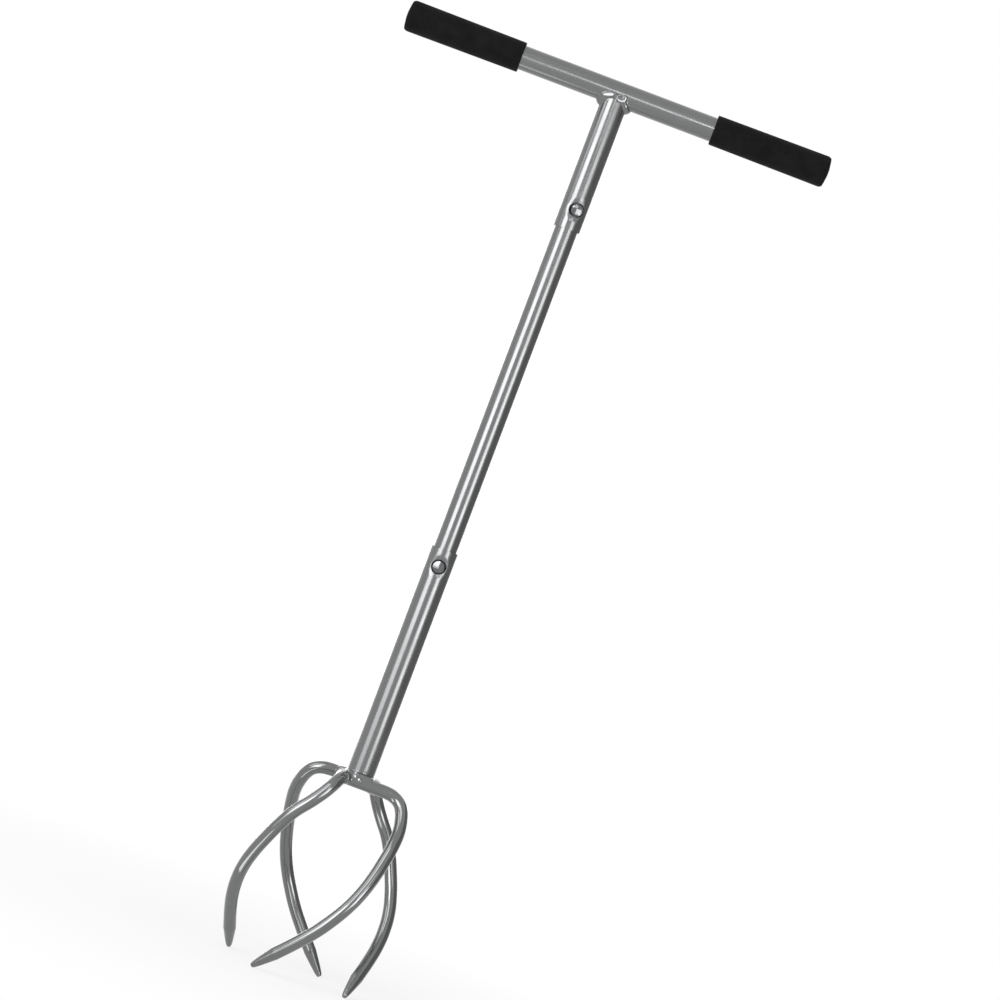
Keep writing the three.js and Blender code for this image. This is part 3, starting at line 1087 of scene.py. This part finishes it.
def flat_lamp(name, size, level, place, rotation, spread=180):
    """A flat lamp that the camera doesn't see. Its level is how bright its face is."""
    lamp = bpy.data.lights.new(name, "AREA")
    lamp.shape = "RECTANGLE"
    lamp.size, lamp.size_y = size
    lamp.energy = level * math.pi * size[0] * size[1]
    lamp.spread = math.radians(spread)
    holder = bpy.data.objects.new(name, lamp)
    bpy.context.scene.collection.objects.link(holder)
    holder.location = place
    holder.rotation_euler = rotation
    holder.visible_camera = False


def soft_box(name, bearing, height, size, level, aim, spread=180):
    """A lamp that faces the tool. Its bearing is in degrees to the right of the camera's side."""
    turn = math.radians(bearing)
    place = Vector((LAMP_DISTANCE * math.sin(turn), -LAMP_DISTANCE * math.cos(turn), height))
    rotation = (Vector((0, 0, aim)) - place).to_track_quat("-Z", "Y").to_euler()
    flat_lamp(name, size, level, place, rotation, spread)


def low_strip():
    """A small lamp that lies on the floor in front of the tines, at their left, and shines up."""
    flat_lamp("low_strip", STRIP_SIZE, 3, STRIP_PLACE, (math.pi, 0, 0))


def make_lamps():
    soft_box("left_strip", -37, 0.71, (1.55, 1.38), 2.3, aim=0.71)
    soft_box("left_strip_core", -35.5, 0.86, (1.25, 1.08), 3.0, aim=0.86)
    soft_box("left_high", -33, 2.25, (1.2, 1.9), 3.0, aim=0.3)
    soft_box("left_side_high", -72, 1.9, (0.8, 2.0), 2.2, aim=0.3)
    soft_box("right_high", 16, 1.52, (0.6, 0.65), 2.5, aim=0.3)
    soft_box("right_strip", 32, 0.58, (1.05, 1.04), 3.5, aim=0.58)
    soft_box("right_strip_core", 38.5, 0.5, (0.8, 0.75), 1.4, aim=0.5)
    soft_box("front_line", -1.2, 1.37, (0.42, 0.4), 0.03, aim=0.95, spread=24)
    soft_box("front_line_right", 3.6, 1.37, (0.3, 0.4), 0.1, aim=0.95, spread=24)
    low_strip()
    soft_box("back_left_strip", -166, 0.75, (0.6, 1.3), 2.5, aim=0.75)
    soft_box("back_right_strip", 166, 0.75, (0.5, 1.3), 2.5, aim=0.75)


def make_camera():
    """Level with the middle of the shaft and square to it, and rolled so that the tool leans in view."""
    lens = bpy.data.cameras.new("camera")
    lens.sensor_width = 36
    lens.lens = CAMERA_LENS
    lens.clip_start = 0.1
    lens.clip_end = 60
    holder = bpy.data.objects.new("camera", lens)
    bpy.context.scene.collection.objects.link(holder)
    right = Vector((math.cos(CAMERA_LEAN), 0, math.sin(CAMERA_LEAN)))
    up = Vector((-math.sin(CAMERA_LEAN), 0, math.cos(CAMERA_LEAN)))
    back = Vector((0, -1, 0))
    turn = Matrix((right, up, back)).transposed().to_4x4()
    place = Vector((CAMERA_ASIDE, -CAMERA_AWAY, CROSSBAR_HEIGHT - CAMERA_UNDER_BAR))
    holder.matrix_world = Matrix.Translation(place) @ turn
    bpy.context.scene.camera = holder


def main():
    groups = {
        "lines": noise_group("drawn_lines", 3, 0.6),
        "mottle": noise_group("mottle", 4, 0.55),
        "rub": edge_rub_group(),
    }
    make_camera()
    upper, lower, middle, crossbar = make_tubes()
    tines = make_tines()
    corners = four_round(corner_bead(tines), "corner_bead")
    handle_seam = handle_bead(upper, crossbar)
    foot_seam = foot_bead(lower, tines)
    grey = (0.17, 0.172, 0.174)
    upright = metal_paint("tube_paint", groups, grey, (900, 900, 5))
    level = metal_paint("crossbar_paint", groups, grey, (5, 900, 900), gloss=(0.2, 0.28))
    bent = metal_paint("tine_paint", groups, grey, (120, 120, 60), gloss=(0.1, 0.16), line=0.001 * MM)
    lumpy = metal_paint("weld_paint", groups, grey, (300, 300, 300), gloss=(0.12, 0.2), line=0)
    fit(upper, "handle_section", "upper_tube", upright)
    fit(lower, "tine_head", "lower_tube", upright)
    fit(middle, "middle_section", "middle_tube", upright)
    fit(crossbar, "handle_section", "crossbar_tube", level)
    fit(handle_seam, "handle_section", "handle_weld", lumpy)
    fit(foot_seam, "tine_head", "foot_weld", lumpy)
    for n, (tine, corner) in enumerate(zip(tines, corners), 1):
        fit(tine, "tine_head", f"tine_{n}", bent)
        fit(corner, "tine_head", f"corner_weld_{n}", lumpy)
    foam = grip_foam(groups)
    for side, grip in zip(("right", "left"), make_grips()):
        fit(grip, "handle_section", f"grip_{side}", foam)
    plate = chrome_plate(groups)
    for end, button in zip(("upper", "lower"), make_buttons()):
        fit(button, f"{end}_button", f"{end}_snap_button", plate)
    steel = spring_steel(groups)
    for end, leaf in zip(("upper", "lower"), make_springs()):
        bend_with_button(leaf, end, steel)
    make_floor()
    make_panel()
    make_air()
    make_lamps()
    bpy.context.scene.view_settings.view_transform = "Standard"


main()
